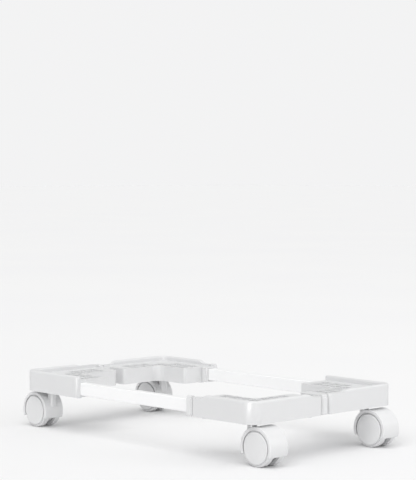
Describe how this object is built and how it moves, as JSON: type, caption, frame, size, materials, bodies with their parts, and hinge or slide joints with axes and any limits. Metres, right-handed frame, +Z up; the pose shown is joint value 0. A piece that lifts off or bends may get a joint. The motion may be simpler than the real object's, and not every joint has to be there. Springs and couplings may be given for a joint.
{
  "type": "computer tower stand",
  "caption": "Low rolling stand for a desktop tower: lipped L-shaped corner decks joined by telescoping tubes, on hooded twin-wheel swivel casters.",
  "frame": {"origin": "centre of the stand's plan, on the floor under the wheels", "axes": "+X to the right across the width, +Y towards the rear along the length, +Z up"},
  "size_m": [0.2476, 0.4608, 0.0765],
  "materials": {
    "housing_plastic": "white moulded ABS, fine satin texture",
    "collar_plastic": "white moulded ABS, satin",
    "rail_paint": "bright white powder coat",
    "plug_plastic": "natural white polyethylene",
    "caster_plastic": "white nylon, semi-gloss",
    "wheel_plastic": "white nylon tread, semi-gloss",
    "cap_plastic": "white nylon, semi-gloss",
    "shaft_steel": "bright drawn steel",
    "spring_steel": "tempered spring steel",
    "zinc_steel": "zinc plated",
    "screw_steel": "zinc plated"
  },
  "bodies": {
    "rear_left_corner": {"rear_left_corner_housing": "housing_plastic", "left_side_rail": "rail_paint", "rear_cross_tube": "rail_paint", "left_rail_end_plug": "plug_plastic", "rear_tube_end_plug": "plug_plastic", "rear_left_fixing_screws": "screw_steel", "rear_left_stem_socket": "zinc_steel"},
    "front_left_corner": {"front_left_corner_housing": "housing_plastic", "front_left_side_collar": "collar_plastic", "front_left_end_collar": "collar_plastic", "front_left_lock_screws": "screw_steel", "front_left_clamp_nuts": "zinc_steel", "front_left_stem_socket": "zinc_steel"},
    "rear_right_corner": {"rear_right_corner_housing": "housing_plastic", "rear_right_side_collar": "collar_plastic", "rear_right_end_collar": "collar_plastic", "rear_right_lock_screws": "screw_steel", "rear_right_clamp_nuts": "zinc_steel", "rear_right_stem_socket": "zinc_steel"},
    "front_right_corner": {"front_right_corner_housing": "housing_plastic", "right_side_rail": "rail_paint", "front_cross_tube": "rail_paint", "right_rail_end_plug": "plug_plastic", "front_tube_end_plug": "plug_plastic", "front_right_fixing_screws": "screw_steel", "front_right_stem_socket": "zinc_steel"},
    "front_left_caster_fork": {"front_left_caster_stem": "shaft_steel", "front_left_grip_ring": "spring_steel", "front_left_caster_hood": "caster_plastic", "front_left_axle": "shaft_steel"},
    "front_left_left_wheel": {"front_left_left_wheel": "wheel_plastic", "front_left_left_wheel_cap": "cap_plastic"},
    "front_left_right_wheel": {"front_left_right_wheel": "wheel_plastic", "front_left_right_wheel_cap": "cap_plastic"},
    "front_right_caster_fork": {"front_right_caster_stem": "shaft_steel", "front_right_grip_ring": "spring_steel", "front_right_caster_hood": "caster_plastic", "front_right_axle": "shaft_steel"},
    "front_right_left_wheel": {"front_right_left_wheel": "wheel_plastic", "front_right_left_wheel_cap": "cap_plastic"},
    "front_right_right_wheel": {"front_right_right_wheel": "wheel_plastic", "front_right_right_wheel_cap": "cap_plastic"},
    "rear_left_caster_fork": {"rear_left_caster_stem": "shaft_steel", "rear_left_grip_ring": "spring_steel", "rear_left_caster_hood": "caster_plastic", "rear_left_axle": "shaft_steel"},
    "rear_left_left_wheel": {"rear_left_left_wheel": "wheel_plastic", "rear_left_left_wheel_cap": "cap_plastic"},
    "rear_left_right_wheel": {"rear_left_right_wheel": "wheel_plastic", "rear_left_right_wheel_cap": "cap_plastic"},
    "rear_right_caster_fork": {"rear_right_caster_stem": "shaft_steel", "rear_right_grip_ring": "spring_steel", "rear_right_caster_hood": "caster_plastic", "rear_right_axle": "shaft_steel"},
    "rear_right_left_wheel": {"rear_right_left_wheel": "wheel_plastic", "rear_right_left_wheel_cap": "cap_plastic"},
    "rear_right_right_wheel": {"rear_right_right_wheel": "wheel_plastic", "rear_right_right_wheel_cap": "cap_plastic"}
  },
  "joints": [
    {"name": "stand_length", "type": "slide", "parent": "rear_left_corner", "child": "front_left_corner", "axis": [0, -1, 0], "range_m": [-0.027, 0.03]},
    {"name": "rear_width", "type": "slide", "parent": "rear_left_corner", "child": "rear_right_corner", "axis": [1, 0, 0], "range_m": [-0.003, 0.05]},
    {"name": "front_width", "type": "slide", "parent": "front_left_corner", "child": "front_right_corner", "axis": [1, 0, 0], "range_m": [-0.003, 0.05]},
    {"name": "front_left_swivel", "type": "hinge", "parent": "front_left_corner", "child": "front_left_caster_fork", "pos_m": [-0.0985, -0.1865, 0.0495], "axis": [0, 0, 1], "continuous": true},
    {"name": "front_left_left_wheel_spin", "type": "hinge", "parent": "front_left_caster_fork", "child": "front_left_left_wheel", "pos_m": [-0.0985, -0.206, 0.022], "axis": [1, 0, 0], "continuous": true},
    {"name": "front_left_right_wheel_spin", "type": "hinge", "parent": "front_left_caster_fork", "child": "front_left_right_wheel", "pos_m": [-0.0985, -0.206, 0.022], "axis": [1, 0, 0], "continuous": true},
    {"name": "front_right_swivel", "type": "hinge", "parent": "front_right_corner", "child": "front_right_caster_fork", "pos_m": [0.0985, -0.1865, 0.0495], "axis": [0, 0, 1], "continuous": true},
    {"name": "front_right_left_wheel_spin", "type": "hinge", "parent": "front_right_caster_fork", "child": "front_right_left_wheel", "pos_m": [0.0985, -0.206, 0.022], "axis": [1, 0, 0], "continuous": true},
    {"name": "front_right_right_wheel_spin", "type": "hinge", "parent": "front_right_caster_fork", "child": "front_right_right_wheel", "pos_m": [0.0985, -0.206, 0.022], "axis": [1, 0, 0], "continuous": true},
    {"name": "rear_left_swivel", "type": "hinge", "parent": "rear_left_corner", "child": "rear_left_caster_fork", "pos_m": [-0.0985, 0.1865, 0.0495], "axis": [0, 0, 1], "continuous": true},
    {"name": "rear_left_left_wheel_spin", "type": "hinge", "parent": "rear_left_caster_fork", "child": "rear_left_left_wheel", "pos_m": [-0.0985, 0.206, 0.022], "axis": [1, 0, 0], "continuous": true},
    {"name": "rear_left_right_wheel_spin", "type": "hinge", "parent": "rear_left_caster_fork", "child": "rear_left_right_wheel", "pos_m": [-0.0985, 0.206, 0.022], "axis": [1, 0, 0], "continuous": true},
    {"name": "rear_right_swivel", "type": "hinge", "parent": "rear_right_corner", "child": "rear_right_caster_fork", "pos_m": [0.0985, 0.1865, 0.0495], "axis": [0, 0, 1], "continuous": true},
    {"name": "rear_right_left_wheel_spin", "type": "hinge", "parent": "rear_right_caster_fork", "child": "rear_right_left_wheel", "pos_m": [0.0985, 0.206, 0.022], "axis": [1, 0, 0], "continuous": true},
    {"name": "rear_right_right_wheel_spin", "type": "hinge", "parent": "rear_right_caster_fork", "child": "rear_right_right_wheel", "pos_m": [0.0985, 0.206, 0.022], "axis": [1, 0, 0], "continuous": true}
  ],
  "couplings": [
    {"joint": "front_width", "follows": "rear_width", "ratio": 1}
  ]
}
